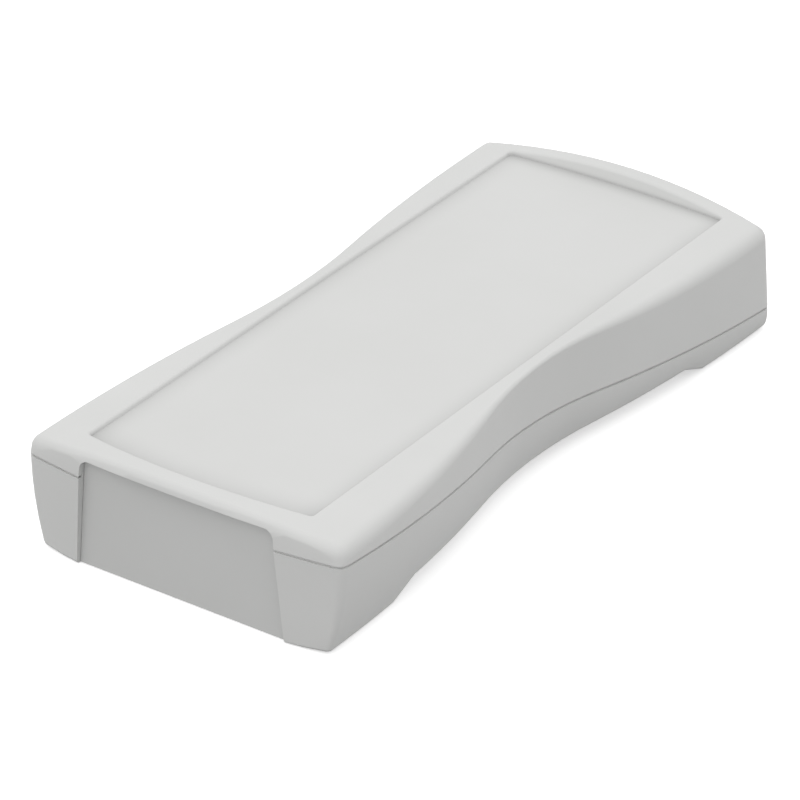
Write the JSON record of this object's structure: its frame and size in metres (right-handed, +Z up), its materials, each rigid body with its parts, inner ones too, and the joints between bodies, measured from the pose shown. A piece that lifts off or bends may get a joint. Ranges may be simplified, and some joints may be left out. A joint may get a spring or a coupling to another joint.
{
  "type": "handheld enclosure",
  "caption": "Empty waisted handheld case of two light grey moulded shells that part on an inclined line, with a sunk keypad field on top and a flat end panel.",
  "frame": {"origin": "under the middle of the case, in the plane of its feet", "axes": "+Z up through the keypad field, +Y to the rear, the end panel faces -Y, +X to the right seen from the panel end"},
  "size_m": [0.0872, 0.1889, 0.0315],
  "materials": {
    "shell_plastic": "fine moulded texture",
    "panel_plastic": "fine moulded texture",
    "screw_steel": "bright zinc plated"
  },
  "bodies": {
    "root": {"upper_shell": "shell_plastic", "lower_shell": "shell_plastic", "end_panel": "panel_plastic", "case_screws": "screw_steel"}
  },
  "joints": []
}
